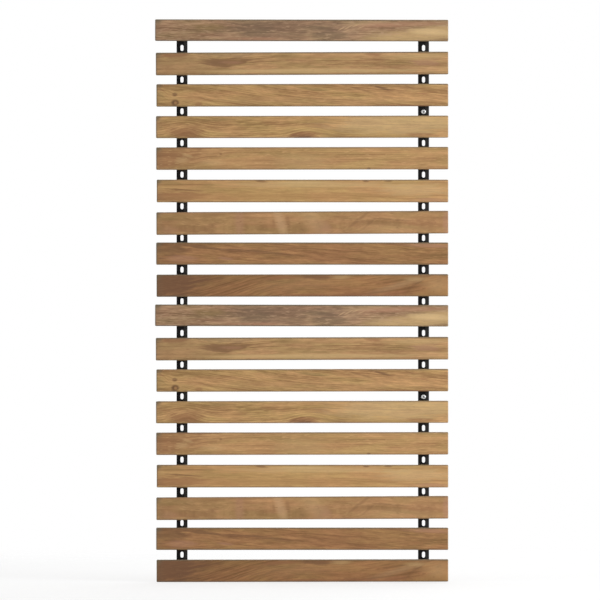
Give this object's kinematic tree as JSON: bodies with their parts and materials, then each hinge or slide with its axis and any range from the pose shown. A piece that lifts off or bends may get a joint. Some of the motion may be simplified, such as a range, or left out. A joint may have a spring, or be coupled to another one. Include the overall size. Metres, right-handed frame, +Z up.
{
  "type": "slatted garden privacy screen",
  "caption": "Garden privacy screen of horizontal hardwood slats screwed across slotted black steel uprights, for fixing to a wall or posts.",
  "frame": {"origin": "in the wall plane, which the back edges of both uprights touch, in the middle of the width and level with the lower edge of the lowest slat's row", "axes": "+X right as seen from the garden, +Y into the wall, +Z up; the slats' faces look along -Y"},
  "size_m": [0.8031, 0.0303, 1.5415],
  "materials": {
    "wood_greyed": "oiled hardwood, greyed brown",
    "wood_honey": "oiled hardwood, honey brown",
    "wood_light": "oiled hardwood, light honey",
    "wood_brown": "oiled hardwood, mid brown",
    "wood_russet": "oiled hardwood, reddish brown",
    "wood_dark": "oiled hardwood, dark brown",
    "black_steel": "black powder coat, satin",
    "zinc_steel": "bright zinc or stainless"
  },
  "bodies": {
    "root": {"slat_01": "wood_greyed", "slat_02": "wood_honey", "slat_03": "wood_honey", "slat_04": "wood_light", "slat_05": "wood_honey", "slat_06": "wood_light", "slat_07": "wood_brown", "slat_08": "wood_russet", "slat_09": "wood_dark", "slat_10": "wood_greyed", "slat_11": "wood_honey", "slat_12": "wood_honey", "slat_13": "wood_light", "slat_14": "wood_honey", "slat_15": "wood_light", "slat_16": "wood_brown", "slat_17": "wood_russet", "slat_18": "wood_dark", "upright_left": "black_steel", "upright_right": "black_steel", "slat_screw_left_01": "zinc_steel", "slat_screw_left_02": "zinc_steel", "slat_screw_left_03": "zinc_steel", "slat_screw_left_04": "zinc_steel", "slat_screw_left_05": "zinc_steel", "slat_screw_left_06": "zinc_steel", "slat_screw_left_07": "zinc_steel", "slat_screw_left_08": "zinc_steel", "slat_screw_left_09": "zinc_steel", "slat_screw_left_10": "zinc_steel", "slat_screw_left_11": "zinc_steel", "slat_screw_left_12": "zinc_steel", "slat_screw_left_13": "zinc_steel", "slat_screw_left_14": "zinc_steel", "slat_screw_left_15": "zinc_steel", "slat_screw_left_16": "zinc_steel", "slat_screw_left_17": "zinc_steel", "slat_screw_left_18": "zinc_steel", "slat_screw_right_01": "zinc_steel", "slat_screw_right_02": "zinc_steel", "slat_screw_right_03": "zinc_steel", "slat_screw_right_04": "zinc_steel", "slat_screw_right_05": "zinc_steel", "slat_screw_right_06": "zinc_steel", "slat_screw_right_07": "zinc_steel", "slat_screw_right_08": "zinc_steel", "slat_screw_right_09": "zinc_steel", "slat_screw_right_10": "zinc_steel", "slat_screw_right_11": "zinc_steel", "slat_screw_right_12": "zinc_steel", "slat_screw_right_13": "zinc_steel", "slat_screw_right_14": "zinc_steel", "slat_screw_right_15": "zinc_steel", "slat_screw_right_16": "zinc_steel", "slat_screw_right_17": "zinc_steel", "slat_screw_right_18": "zinc_steel", "fixing_bolt_upper": "zinc_steel", "fixing_bolt_lower": "zinc_steel", "fixing_nut_upper": "zinc_steel", "fixing_nut_lower": "zinc_steel"}
  },
  "joints": []
}
